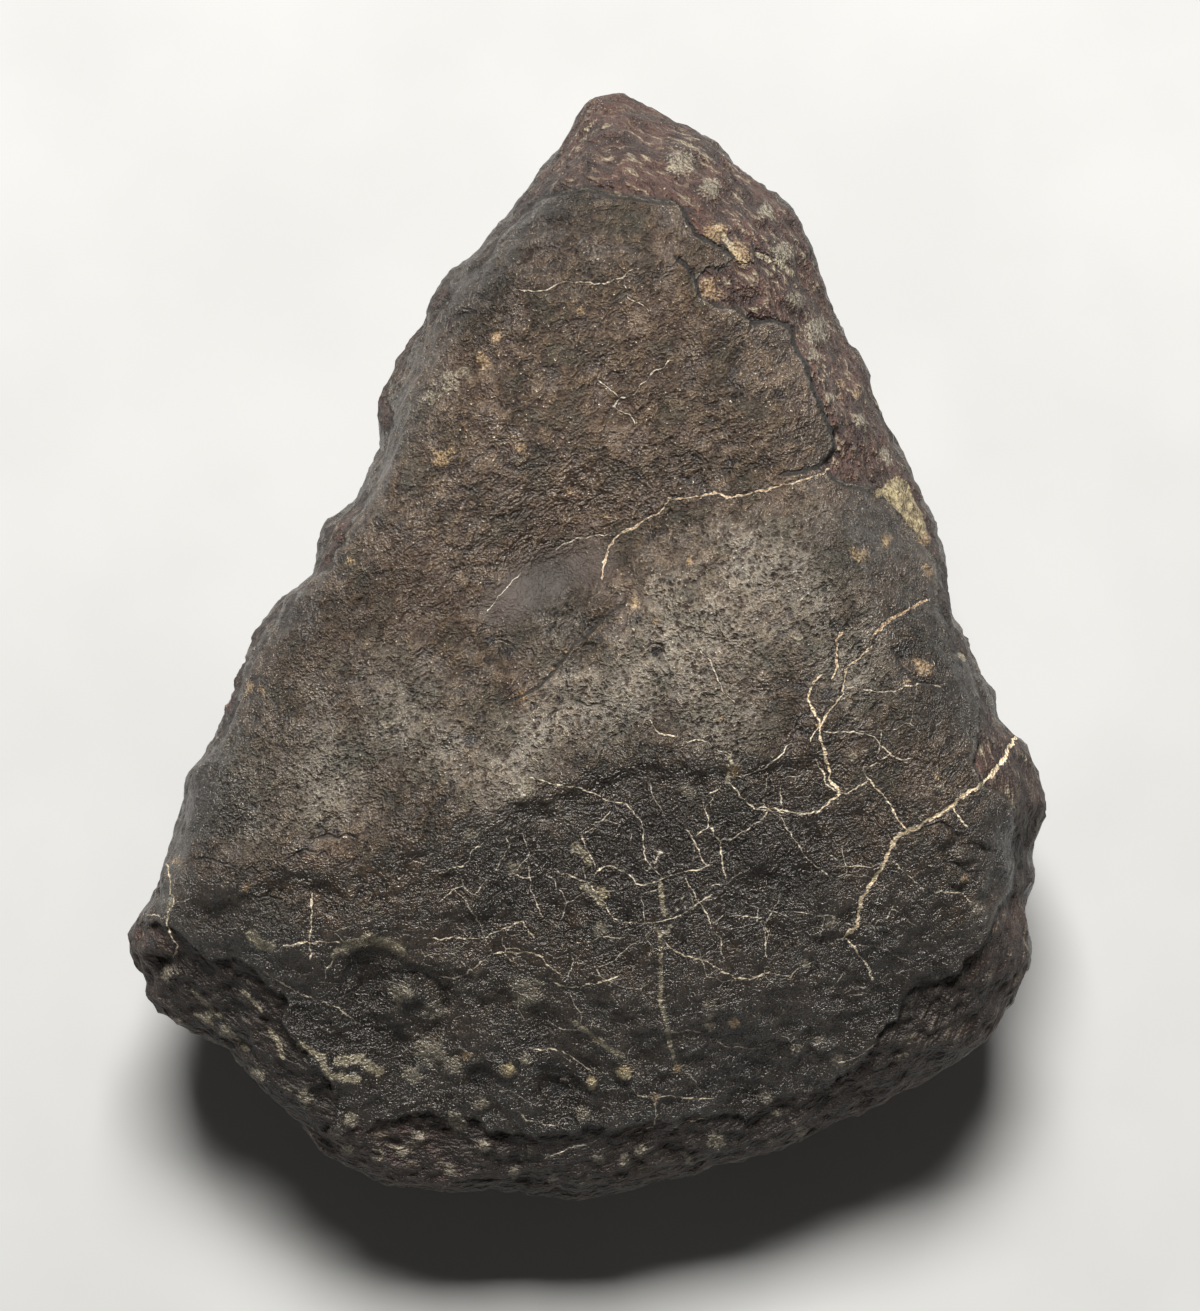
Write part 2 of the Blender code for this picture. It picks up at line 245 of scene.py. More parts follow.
# Pale bands in the crust, as pixels, with their half-width in millimetres.
PALE_BANDS = [
    (1.0, [(335, 955), (350, 946), (369, 939), (385, 942), (402, 953)]),
    (0.9, [(250, 933), (261, 944), (273, 947)]),
    (0.5, [(661, 883), (662, 901), (665, 916)]),
    (0.4, [
        (655, 926), (660, 935), (661, 961), (661, 979), (660, 1000), (666, 1020), (668, 1035), (672, 1050),
        (676, 1068),
    ]),
    (0.5, [(574, 1022), (587, 1031), (600, 1042), (611, 1050), (624, 1057)]),
    (0.8, [(574, 845), (582, 852), (590, 862)]),
    (0.6, [(582, 885), (592, 893), (604, 905)]),
    (0.7, [(298, 1044), (322, 1057), (328, 1076), (359, 1079)]),
    (0.9, [(337, 1062), (358, 1058), (380, 1072)]),
    (0.5, [(168, 912), (172, 898)]),
    (0.5, [(730, 755), (732, 770), (727, 784)]),
    (0.4, [(191, 990), (206, 1004), (222, 1018)]),
    (0.4, [(194, 1014), (207, 1020), (214, 1026)]),
    (0.4, [(242, 990), (252, 1000), (262, 1012)]),
    (0.5, [(270, 1030), (279, 1044), (283, 1058)]),
    (0.5, [(226, 1028), (236, 1040), (248, 1050)]),
    (0.4, [(280, 1110), (296, 1124), (312, 1136)]),
    (0.4, [(960, 632), (967, 643)]),
    (0.4, [(959, 654), (965, 660)]),
    (0.4, [(1018, 748), (1027, 762)]),
    (0.5, [(756, 254), (776, 262), (794, 275)]),
    (0.5, [(716, 224), (726, 240), (745, 264)]),
]

# The bare stone that the crust has broken off, as closed outlines of pixels: broken off sharply at a
# ledge, and worn off with a ragged edge.
BROKEN_STONE = [
    [
        (470, 40), (505, 190), (524, 204), (539, 195), (560, 191), (588, 188), (611, 195), (632, 196),
        (651, 199), (672, 201), (683, 210), (688, 222), (695, 234), (708, 242), (722, 248), (734, 258),
        (722, 268), (706, 266), (696, 280), (700, 296), (714, 306), (735, 310), (752, 322), (772, 322),
        (788, 326), (793, 338), (797, 352), (806, 364), (812, 388), (819, 402), (826, 420), (833, 436),
        (834, 448), (828, 458), (818, 468), (830, 478), (852, 484), (872, 490), (886, 500), (900, 516),
        (912, 530), (926, 546), (936, 562), (938, 608), (944, 623), (951, 650), (967, 663), (978, 682),
        (980, 709), (978, 742), (972, 763), (984, 787), (999, 793), (1011, 807), (1015, 828), (1015, 858),
        (1013, 890), (998, 908), (990, 930), (976, 950), (1060, 960), (1180, 900), (1180, 40),
    ],
]
WORN_STONE = [
    [
        (976, 950), (962, 966), (930, 984), (900, 1000), (880, 1030), (860, 1060), (820, 1085),
        (760, 1104), (690, 1118), (600, 1134), (520, 1134), (440, 1122), (380, 1118), (337, 1121),
        (337, 1095), (320, 1067), (294, 1041), (283, 1019), (272, 989), (228, 954), (190, 950),
        (168, 945), (150, 920), (40, 900), (40, 1290), (1180, 1290), (1180, 900),
    ],
    [
        (548, 194), (518, 221), (506, 246), (476, 265), (453, 292), (435, 318), (414, 343), (395, 387),
        (392, 408), (384, 440), (372, 480), (352, 520), (330, 560), (280, 610), (250, 660), (236, 700),
        (212, 740), (160, 760), (200, 600), (300, 400), (480, 100),
    ],
]
WORN_REACH_MM = 3.5

# Flecks and clasts: centre in pixels, radius in pixels.
TAN_FLECKS = [
    (496, 338, 9), (484, 360, 10), (441, 458, 14), (521, 449, 8), (569, 493, 6), (350, 560, 8),
    (708, 290, 16), (716, 232, 15), (740, 254, 14), (624, 1072, 9), (591, 1081, 8), (507, 1070, 9),
    (677, 1067, 6), (601, 892, 8), (637, 602, 8), (568, 652, 6), (553, 671, 6), (524, 696, 7),
    (608, 516, 6), (735, 770, 9), (722, 720, 6), (249, 687, 8), (262, 690, 7), (468, 1055, 8),
    (860, 555, 12), (938, 778, 5), (850, 700, 5), (907, 684, 5), (655, 1098, 7), (886, 540, 9),
    (923, 667, 12), (735, 1022, 8), (820, 728, 6), (928, 571, 10), (176, 861, 6), (246, 888, 7),
    (905, 500, 14), (915, 520, 15), (925, 538, 10), (897, 490, 10), (878, 492, 5), (842, 384, 7),
    (857, 393, 7), (965, 879, 6), (535, 990, 6), (581, 311, 6), (655, 620, 6), (690, 560, 6),
]
PALE_CLASTS = [
    (449, 382, 16), (466, 372, 9), (430, 396, 12), (688, 792, 11), (527, 992, 22), (576, 850, 9),
    (711, 1010, 12), (831, 922, 10), (168, 974, 10), (681, 163, 20), (711, 188, 14), (600, 929, 11),
    (765, 210, 10), (781, 253, 16), (796, 300, 11), (815, 331, 18), (813, 356, 10), (829, 397, 7),
    (887, 455, 12), (860, 420, 8), (430, 1052, 22), (452, 1066, 12), (414, 1074, 14), (432, 1009, 14),
    (402, 992, 14), (976, 907, 10), (655, 1098, 7), (820, 1041, 9), (796, 1048, 8), (838, 1061, 9),
    (767, 1096, 10), (776, 1112, 7), (802, 1132, 8), (716, 1140, 12), (352, 1118, 10), (306, 1098, 12),
    (259, 1074, 10), (226, 1031, 10), (207, 1018, 9), (178, 1022, 8), (348, 1150, 8), (378, 1154, 9),
    (404, 1152, 10), (419, 1139, 10), (457, 1120, 14), (481, 1103, 9), (483, 1146, 9), (449, 1170, 9),
    (598, 1159, 9), (624, 1158, 8), (583, 1115, 9), (387, 724, 8), (514, 868, 11), (592, 888, 8),
    (852, 757, 6), (866, 751, 6), (470, 835, 9), (523, 790, 16), (804, 964, 8), (564, 1080, 5),
    (525, 1059, 8), (709, 1026, 8), (940, 790, 7), (330, 524, 10), (342, 512, 7), (949, 596, 6),
    (800, 640, 6), (640, 1150, 8), (690, 1160, 7), (552, 1180, 7), (514, 1172, 8),
]
DARK_SPOTS = [
    (479, 1076, 14), (470, 740, 9), (656, 652, 8), (509, 653, 9), (490, 640, 8), (152, 943, 10),
    (350, 972, 9), (828, 694, 10), (905, 650, 12), (312, 888, 5),
    (336, 832, 6), (320, 826, 5), (234, 868, 5), (300, 850, 5), (560, 1090, 12), (560, 700, 6),
]

# Lumps, and below 0 hollows: centre in pixels, radius in pixels, height in millimetres.
LUMPS = [
    (374, 968, 34, -0.9), (369, 938, 12, 0.5), (404, 1000, 36, 1.2), (424, 970, 13, -0.3),
    (447, 992, 12, -0.5), (410, 984, 12, 0.4), (479, 1077, 15, -0.9), (152, 943, 11, 1.2),
    (656, 652, 9, -0.7), (656, 640, 9, 0.4), (449, 734, 11, 0.7), (449, 720, 8, -0.5),
    (826, 694, 11, 0.5), (527, 992, 22, 0.5), (940, 835, 9, 0.8), (960, 852, 10, 0.9),
    (985, 838, 10, 0.8), (1000, 866, 9, 0.8), (955, 877, 9, 0.8), (980, 884, 9, 0.8),
    (934, 862, 8, 0.6), (912, 850, 8, 0.5), (430, 1052, 24, 0.5), (560, 1092, 26, -1.2),
    (591, 1078, 9, 0.7), (623, 1070, 9, 0.6), (507, 1068, 9, 0.6), (168, 974, 10, 0.5),
    (872, 370, 7, 0.8), (336, 524, 16, 1.2), (300, 850, 22, 0.8), (340, 832, 16, -0.6),
    (240, 866, 24, 0.7), (280, 886, 14, -0.6), (500, 655, 13, -0.8), (470, 742, 12, -0.6),
    (723, 720, 9, -0.5), (560, 620, 14, 0.5), (430, 545, 12, 0.5), (400, 500, 16, -0.6),
    (735, 540, 12, 0.4), (905, 650, 20, -0.7), (885, 600, 14, 0.6), (640, 770, 20, -0.6),
    (700, 800, 14, -0.5), (760, 860, 22, 0.7), (620, 990, 26, 0.6), (700, 940, 22, 0.5),
    (560, 920, 22, -0.5), (820, 900, 24, 0.6), (780, 1010, 24, -0.7), (640, 1050, 24, -0.6),
    (480, 900, 18, 0.6), (330, 900, 18, -0.6), (266, 930, 14, 0.6), (230, 915, 16, -0.7),
    (520, 790, 16, 0.6), (545, 815, 14, -0.7), (590, 760, 16, 0.5), (420, 650, 18, 0.5),
]

# The smooth brown hollow, as a line of pixels and the reach of its smoothness to either side. Its dark
# brown is partly its own stain and partly painted shade.
BROWN_HOLLOW = [(506, 604), (534, 584), (562, 570), (594, 562)]
BROWN_HOLLOW_REACH_MM = 6.0

# The ridge that parts the lit slope from the dark front, from left to right.
RIDGE = [
    (150, 892), (230, 880), (300, 866), (360, 854), (420, 838), (470, 815), (510, 795), (560, 776),
    (610, 764), (660, 758), (710, 758), (760, 752), (820, 742),
]
RIDGE_HEIGHT_MM = 1.9
RIDGE_GENTLE_MM = 8.0
RIDGE_STEEP_MM = 3.6

# The valley that runs to the left, which the fine surface raises a little.
VALLEY = [(200, 720), (330, 670), (430, 630), (500, 600)]
VALLEY_REACH_MM = 15.0
VALLEY_FILL_MM = 3.4

# Brown-stained tracts of the crust: centre in pixels, radius in pixels.
BROWN_TRACTS = [
    (300, 640, 60), (420, 600, 90), (560, 540, 80), (620, 420, 80), (840, 520, 60), (700, 300, 60),
    (900, 570, 60), (640, 340, 50), (470, 380, 60), (340, 480, 40), (760, 520, 50),
]

# Large tracts painted paler and darker than the stone round them: partly the stone's own tone, partly
# painted light where the surface faces the lamp and painted shade where it faces away. Centre and radius
# in pixels.
PALER_AND_PAINTED_LIT_TRACTS = [
    (640, 310, 90), (780, 390, 80), (560, 380, 80), (800, 470, 60), (420, 500, 60),
    (490, 420, 110), (600, 450, 110), (700, 430, 90), (690, 620, 120), (540, 700, 80), (470, 530, 60),
    (330, 860, 70), (945, 780, 50), (470, 770, 60),
]
DARKER_AND_PAINTED_SHADE_TRACTS = [
    (470, 290, 60), (540, 215, 50), (300, 620, 40), (560, 620, 60), (215, 800, 60), (865, 545, 70),
    (945, 625, 70), (640, 860, 130), (550, 583, 45), (960, 690, 60),
    (760, 870, 110), (520, 870, 80), (240, 980, 110), (320, 1050, 150), (540, 1130, 170),
    (740, 1110, 170), (900, 1000, 130), (1010, 850, 60),
]

# Tracts of the dark front with fine shrinkage cracks: centre in pixels, radius in pixels.
FRONT_CRACKLE = [
    (600, 900, 170), (700, 900, 150), (500, 950, 110), (760, 850, 120), (640, 1020, 120), (850, 930, 90),
    (330, 950, 70), (540, 1080, 60), (900, 720, 60), (740, 1050, 80),
]

# Tracts where the crust frothed up into pale wrinkles, painted paler as a sheen where the slope faces the
# lamp: centre in pixels, radius in pixels.
FROTHY_AND_SHEEN_TRACTS = [
    (780, 575, 90), (700, 640, 90), (600, 690, 90), (850, 660, 60), (520, 770, 70), (400, 720, 80),
    (560, 650, 60), (720, 720, 60), (330, 760, 80), (240, 800, 60),
]


def pixels_of(places_mm):
    """The photograph's pixel that each place is seen at."""
    scale = PX_PER_MM * CAMERA_REACH_MM / (CAMERA_HEIGHT_MM - places_mm[:, 2:])
    flat = places_mm[:, :2] * np.array([1, -1])
    centre = (CENTRE_PX - ORIGIN_PX) / PX_PER_MM
    return CENTRE_PX + (flat - centre) * scale


def distance_to_line(seen, points):
    """Signed distance in millimetres from each seen pixel to a line, and how far it is past its ends."""
    nearest = np.full(len(seen), np.inf)
    side = np.ones(len(seen))
    past = np.zeros(len(seen))
    knots = np.array(points, float)
    last = len(knots) - 2
    for index, (start, end) in enumerate(zip(knots, knots[1:])):
        along = end - start
        length = np.hypot(*along)
        run = (seen - start) @ along / length
        clipped = np.clip(run, 0, length)
        gap = seen - start - clipped[:, None] * along / length
        distance = np.hypot(gap[:, 0], gap[:, 1])
        closer = distance < nearest
        nearest[closer] = distance[closer]
        across = along[0] * (seen[:, 1] - start[1]) - along[1] * (seen[:, 0] - start[0])
        side[closer] = np.where(across < 0, -1, 1)[closer]
        before = -run if index == 0 else np.zeros(len(seen))
        beyond = run - length if index == last else np.zeros(len(seen))
        past[closer] = np.maximum(before, beyond)[closer]
    return nearest * side / PX_PER_MM, np.maximum(past, 0) / PX_PER_MM


def inside(seen, corners):
    """Whether each seen pixel is inside a closed outline."""
    odd = np.zeros(len(seen), bool)
    knots = np.array(corners, float)
    for (x0, y0), (x1, y1) in zip(knots, np.roll(knots, -1, axis=0)):
        crosses = (y0 > seen[:, 1]) != (y1 > seen[:, 1])
        rise = y1 - y0 if y1 != y0 else 1.0
        odd ^= crosses & (seen[:, 0] < (x1 - x0) * (seen[:, 1] - y0) / rise + x0)
    return odd


def nearness(seen, spots):
    """1 at the middle of the nearest spot, 0 at its edge and below 0 outside it, to -1."""
    best = np.full(len(seen), -1.0)
    for x, y, radius in spots:
        distance = np.hypot(seen[:, 0] - x, seen[:, 1] - y)
        best = np.maximum(best, 1 - distance / radius)
    return best


def rough(places, size_mm, octaves=4, seed=0.0):
    """Fractal noise, about -1 to 1, with features of this size, at each place in millimetres."""
    offset = Vector((seed, seed * 1.7, seed * 2.3))
    values = [
        noise.fractal(Vector(place) / size_mm + offset, 1.0, 2.0, octaves) for place in places
    ]
    return np.array(values)


def smoothstep(values, low, high):
    """0 where the values are low, 1 where they are high, and smooth between."""
    t = np.clip((values - low) / (high - low), 0, 1)
    return t * t * (3 - 2 * t)


def distance_outside(seen, outlines):
    """Distance in millimetres from the nearest closed outline, below 0 inside it."""
    distance = np.full(len(seen), np.inf)
    for corners in outlines:
        edge = np.abs(distance_to_line(seen, [*corners, corners[0]])[0])
        distance = np.minimum(distance, np.where(inside(seen, corners), -edge, edge))
    return distance


def bare_stone_distance(seen):
    """Distance in millimetres from the edge of the bare stone: above 0 on crust, below 0 on bare."""
    on_plane = np.column_stack([seen / PX_PER_MM, np.zeros(len(seen))])
    ragged = WORN_REACH_MM * rough(on_plane, 9.0, 4, 41.0)
    return np.minimum(
        distance_outside(seen, BROKEN_STONE), distance_outside(seen, WORN_STONE) + ragged
    )


def ridge_height(seen):
    """How far the ridge stands out, steeper on its front, in millimetres."""
    distance, past = distance_to_line(seen, RIDGE)
    reach = np.where(distance > 0, RIDGE_STEEP_MM, RIDGE_GENTLE_MM)
    return RIDGE_HEIGHT_MM * np.exp(-((distance / reach) ** 2) - (past / RIDGE_GENTLE_MM) ** 2)


def band_nearness(seen):
    """1 in the middle of the nearest pale band, 0 at its edge and below 0 outside it, to -1."""
    best = np.full(len(seen), -1.0)
    for half_width, points in PALE_BANDS:
        distance, past = distance_to_line(seen, points)
        best = np.maximum(best, 1 - (np.abs(distance) + past * 0.5) / (half_width * 1.4))
    return best


def grains(places, size_mm, share):
    """1 in the middle of a grain of this spacing, 0 at its edge and below 0 between grains, to -1."""
    values = []
    for place in places:
        distances, centres = noise.voronoi(Vector(place) / size_mm)
        kept = noise.cell(centres[0] * 7.3) < share * 2 - 1
        values.append(1 - distances[0] / 0.36 if kept else -1.0)
    return np.maximum(values, -1.0)


# The stone's mesh


def rounded_copy(node):
    """A merged copy of the CAD stone as a bmesh, its facets rounded by one subdivision."""
    mesh = bmesh.new()
    mesh.from_mesh(node.data)
    bmesh.ops.remove_doubles(mesh, verts=mesh.verts[:], dist=0.001 * MM)
    bmesh.ops.join_triangles(
        mesh, faces=mesh.faces[:], angle_face_threshold=0.7, angle_shape_threshold=0.9
    )
    data = bpy.data.meshes.new("rounding")
    mesh.to_mesh(data)
    blank = bpy.data.objects.new("rounding", data)
    bpy.context.scene.collection.objects.link(blank)
    rounding = blank.modifiers.new("rounding", "SUBSURF")
    rounding.levels = 1
    rounding.render_levels = 1
    graph = bpy.context.evaluated_depsgraph_get()
    mesh.clear()
    mesh.from_mesh(blank.evaluated_get(graph).to_mesh())
    bpy.data.objects.remove(blank)
    bpy.data.meshes.remove(data)
    bmesh.ops.triangulate(mesh, faces=mesh.faces[:])
    return mesh


def places_of(mesh):
    return np.array([vertex.co for vertex in mesh.verts]) / MM


def normals_of(mesh):
    mesh.normal_update()
    return np.array([vertex.normal for vertex in mesh.verts])


def allowed_edges(mesh):
    """The longest edge allowed round each vertex, in millimetres."""
    places = places_of(mesh)
    up = normals_of(mesh)[:, 2]
    seen = pixels_of(places)
    edges = [UNDERSIDE_EDGE_MM, FLANK_EDGE_MM, FLANK_EDGE_MM, CROWN_EDGE_MM]
    allowed = np.interp(up, [-0.5, -0.1, 0.25, 0.45], edges)
    fine = np.abs(bare_stone_distance(seen)) < CRUST_EDGE_REACH_MM
    for _, points in FILLED_CRACKS + OPEN_CRACKS:
        fine |= np.abs(distance_to_line(seen, points)[0]) < CRACK_REACH_MM
    return np.where(fine & (up > 0.2), CRACK_EDGE_MM, allowed)


def refine(mesh, rounds=5):
    """Splits edges until none is longer than is allowed where it lies."""
    for _ in range(rounds):
        allowed = allowed_edges(mesh) * MM
        mesh.verts.index_update()
        split = [
            edge
            for edge in mesh.edges
            if edge.calc_length() > min(allowed[edge.verts[0].index], allowed[edge.verts[1].index])
        ]
        if not split:
            break
        bmesh.ops.subdivide_edges(mesh, edges=split, cuts=1)
        bmesh.ops.triangulate(mesh, faces=mesh.faces[:])


def lump_height(seen):
    """The height of the listed lumps and hollows, in millimetres."""
    height = np.zeros(len(seen))
    for x, y, radius, rise in LUMPS:
        distance = np.hypot(seen[:, 0] - x, seen[:, 1] - y) / radius
        height += rise * smoothstep(distance, 1.25, 0.35)
    return height


def valley_fill(seen):
    """How far the valley that runs to the left is raised above the CAD form, in millimetres."""
    distance, past = distance_to_line(seen, VALLEY)
    reach = np.hypot(distance, past) / VALLEY_REACH_MM
    return VALLEY_FILL_MM * np.exp(-(reach**2))


def relief(places, up, seen, bare):
    """How far the surface stands out at each place, in millimetres."""
    crown = smoothstep(up, 0.15, 0.45)
    crust = smoothstep(bare, -0.35, 0.35)
    hollow = np.abs(distance_to_line(seen, BROWN_HOLLOW)[0]) / BROWN_HOLLOW_REACH_MM
    rough_part = smoothstep(hollow, 0.4, 1.2) * crown + 0.65 * (1 - crown)
    rough_part = rough_part * (1 - 0.25 * smoothstep(seen[:, 1], 740, 860))

    height = 0.8 * rough(places, 16.0, 3, 1.0) + (valley_fill(seen) + ridge_height(seen)) * crown
    height += 0.7 * rough(places, 5.5, 3, 5.0) * rough_part
    height += 0.32 * rough(places, 2.6, 2, 9.0) * rough_part

    chipped = np.maximum(1 - crust, 0.85 * (1 - crown))
    broken = 1 - np.abs(rough(places, 9.0, 4, 13.0)) * 1.6
    height += 0.9 * (broken - 0.5) * chipped
    height += 0.35 * smoothstep(grains(places, 5.5, 0.45), -0.2, 0.6) * chipped
    height += 0.4 * rough(places, 3.4, 3, 51.0) * chipped
    height += 1.0 * crust * crown + 0.3 * (1 - crown)

    for cracks, depth in ((FILLED_CRACKS, 0.3), (OPEN_CRACKS, 0.6)):
        for half_width, points in cracks:
            distance, past = distance_to_line(seen, points)
            inner = smoothstep(half_width + 0.5 - np.abs(distance) - past, 0, 0.5)
            height -= depth * (0.1 + 2.2 * half_width) * inner * crown
    height += 1.1 * lump_height(seen) * crown
    height += 0.3 * smoothstep(nearness(seen, PALE_CLASTS), 0, 0.5) * crown
    height += 0.2 * smoothstep(nearness(seen, TAN_FLECKS), 0, 0.6) * crown
    height -= 0.3 * smoothstep(nearness(seen, DARK_SPOTS), 0, 0.5) * crown
    return height


def outline_shift(places):
    """How far each place moves in plan so that the stone's outline is the photographed one."""
    seen = pixels_of(places)
    spokes = (seen - OUTLINE_MIDDLE_PX) * np.array([1, -1])
    radius = np.hypot(spokes[:, 0], spokes[:, 1])
    turn = np.arctan2(spokes[:, 1], spokes[:, 0]) % (2 * np.pi)
    count = len(OUTLINE_RADII_PX)
    slot = np.round(turn / (2 * np.pi) * count).astype(int) % count
    widest = np.zeros(count)
    np.maximum.at(widest, slot, radius)
    own = sum(np.roll(widest, shift) for shift in range(-2, 3)) / 5 + 1.5
    angles = np.arange(count) * 2 * np.pi / count
    wanted = np.interp(turn, angles, OUTLINE_RADII_PX, period=2 * np.pi)
    present = np.interp(turn, angles, own, period=2 * np.pi)
    gap = (wanted - present) / PX_PER_MM * smoothstep(radius / present, 0.84, 1.0)
    return spokes / np.maximum(radius, 1.0)[:, None] * gap[:, None]


def shape_surface(mesh):
    """Moves the surface in or out along its normals, leaving the resting face alone.

    Returns how far each vertex faced upwards before that.
    """
    places = places_of(mesh)
    normals = normals_of(mesh)
    seen = pixels_of(places)
    height = relief(places, normals[:, 2], seen, bare_stone_distance(seen))
    height *= smoothstep(places[:, 2], 0.2, 5.0)
    moved = places + normals * height[:, None]
    moved[:, :2] += outline_shift(moved)
    moved[:, 2] = np.maximum(moved[:, 2], 0)
    for vertex, place in zip(mesh.verts, moved):
        vertex.co = place * MM
    return normals[:, 2]


def share_out(cracks, reach_px=28.0):
    """Groups of cracks in which no two come near each other, so that each group has one distance."""
    groups = []
    for crack in cracks:
        knots = np.array(crack[1], float)
        for group in groups:
            gaps = [
                np.abs(distance_to_line(knots, other)[0]).min() * PX_PER_MM for _, other in group
            ]
            if min(gaps) > reach_px:
                group.append(crack)
                break
        else:
            groups.append([crack])
    return groups


def mark(data, name, values):
    """Stores one number for each vertex under a name that the stone's material reads."""
    attribute = data.attributes.new(name, "FLOAT", "POINT")
    attribute.data.foreach_set("value", np.asarray(values, np.float32))


def mark_cracks(data, name, cracks, seen, up):
    """Stores, for each group of cracks, the signed distance to the nearest one and its half-width."""
    groups = share_out(cracks)
    for number, group in enumerate(groups):
        nearest = np.full(len(seen), 9.0)
        width = np.full(len(seen), -2.0)
        for half_width, points in group:
            distance, past = distance_to_line(seen, points)
            closer = np.abs(distance) < np.abs(nearest)
            nearest[closer] = distance[closer]
            close = closer & (np.abs(distance) < 2.4) & (up > 0.12)
            width[closer] = -2.0
            width[close] = (half_width - 0.35 * past)[close]
        mark(data, f"{name}_{number}", nearest)
        mark(data, f"{name}_width_{number}", width)
    return len(groups)


def mark_surface(data, up):
    """Stores what the stone's material needs to know about each vertex."""
    places = np.empty(len(data.vertices) * 3)
    data.vertices.foreach_get("co", places)
    places = places.reshape(-1, 3) / MM
    seen = pixels_of(places)
    crown = smoothstep(up, 0.1, 0.35)
    bare = bare_stone_distance(seen)
    patches = 6.0 * (rough(places, 22.0, 3, 21.0) + 0.12)
    mark(data, "crust", np.clip(bare, -6, 6) * crown + np.clip(patches, -6, 6) * (1 - crown))
    mark(data, "tan", nearness(seen, TAN_FLECKS) * crown - (1 - crown))
    bare_grains = grains(places, 5.5, 0.45) * 0.8 - 0.3 - smoothstep(bare, -0.5, 0.5) * crown
    listed = nearness(seen, PALE_CLASTS) * crown - (1 - crown)
    mark(data, "pale", np.maximum(listed, bare_grains))
    mark(data, "band", band_nearness(seen) * crown - (1 - crown))
    mark(data, "dark", nearness(seen, DARK_SPOTS) * crown - (1 - crown))
    # Painted light and shade, partly the stone's own tone: the paler and darker tracts, and the steep
    # flanks painted darker.
    paler_and_painted_lit = smoothstep(nearness(seen, PALER_AND_PAINTED_LIT_TRACTS), -0.3, 0.8)
    darker_and_painted_shade = smoothstep(nearness(seen, DARKER_AND_PAINTED_SHADE_TRACTS), -0.3, 0.8)
    mark(data, "tone_and_painted_light", (0.45 * paler_and_painted_lit - 0.6 * darker_and_painted_shade) * crown - 0.2 * (1 - crown))
    # The front, which faces away from the lamp: the material paints it darker as shade and paints the
    # crack fill there brighter.
    mark(data, "front", smoothstep(seen[:, 1], 620, 760))
    mark(data, "brown", smoothstep(nearness(seen, BROWN_TRACTS), -0.2, 0.9) * crown)
    froth_and_sheen = smoothstep(nearness(seen, FROTHY_AND_SHEEN_TRACTS) + 0.5 * rough(places, 12.0, 3, 61.0), -0.3, 1.0)
    mark(data, "froth_and_sheen", froth_and_sheen * crown)
    hollow = np.abs(distance_to_line(seen, BROWN_HOLLOW)[0]) / BROWN_HOLLOW_REACH_MM
    mark(data, "calm", (1 - smoothstep(hollow, 0.3, 1.1)) * crown)
    front = nearness(seen, FRONT_CRACKLE) * crown
    mark(data, "crackle", smoothstep(front, 0, 0.3) * smoothstep(bare, 0, 2))
    mark(data, "blotch", smoothstep(rough(places, 8.0, 4, 31.0), -0.3, 0.3))
    mark(data, "tint", 0.5 + 0.5 * rough(places, 6.0, 4, 37.0))
    cream = np.maximum(-distance_outside(seen, CREAM_PATCHES), -4)
    mark(data, "cream", cream * crown - 4 * (1 - crown))
    filled = mark_cracks(data, "crack", FILLED_CRACKS + HAIR_CRACKS, seen, up)
    opened = mark_cracks(data, "open", OPEN_CRACKS, seen, up)
    return filled, opened


# Shader maths


class Value:
    """A shader socket that carries a number. Sums on it add Math nodes."""

    def __init__(self, nodes, socket):
        self.nodes = nodes
        self.socket = socket

    def math(self, operation, *others):
        node = self.nodes.add("ShaderNodeMath", {"operation": operation}, [self, *others])
        return Value(self.nodes, node.outputs[0])

    def __add__(self, other):
        return self.math("ADD", other)

    __radd__ = __add__

    def __sub__(self, other):
        return self.math("SUBTRACT", other)

    def __rsub__(self, other):
        return (self * -1.0).math("ADD", other)

    def __mul__(self, other):
        return self.math("MULTIPLY", other)

    __rmul__ = __mul__

    def __abs__(self):
        return self.math("ABSOLUTE")

    def most(self, other):
        return self.math("MAXIMUM", other)

    def ramp(self, low, high, start=0.0, end=1.0):
        """start where the value is low, end where it is high, and smooth between."""
        node = self.nodes.add(
            "ShaderNodeMapRange",
            {"interpolation_type": "SMOOTHSTEP"},
            [self, low, high, start, end],
        )
        return Value(self.nodes, node.outputs[0])


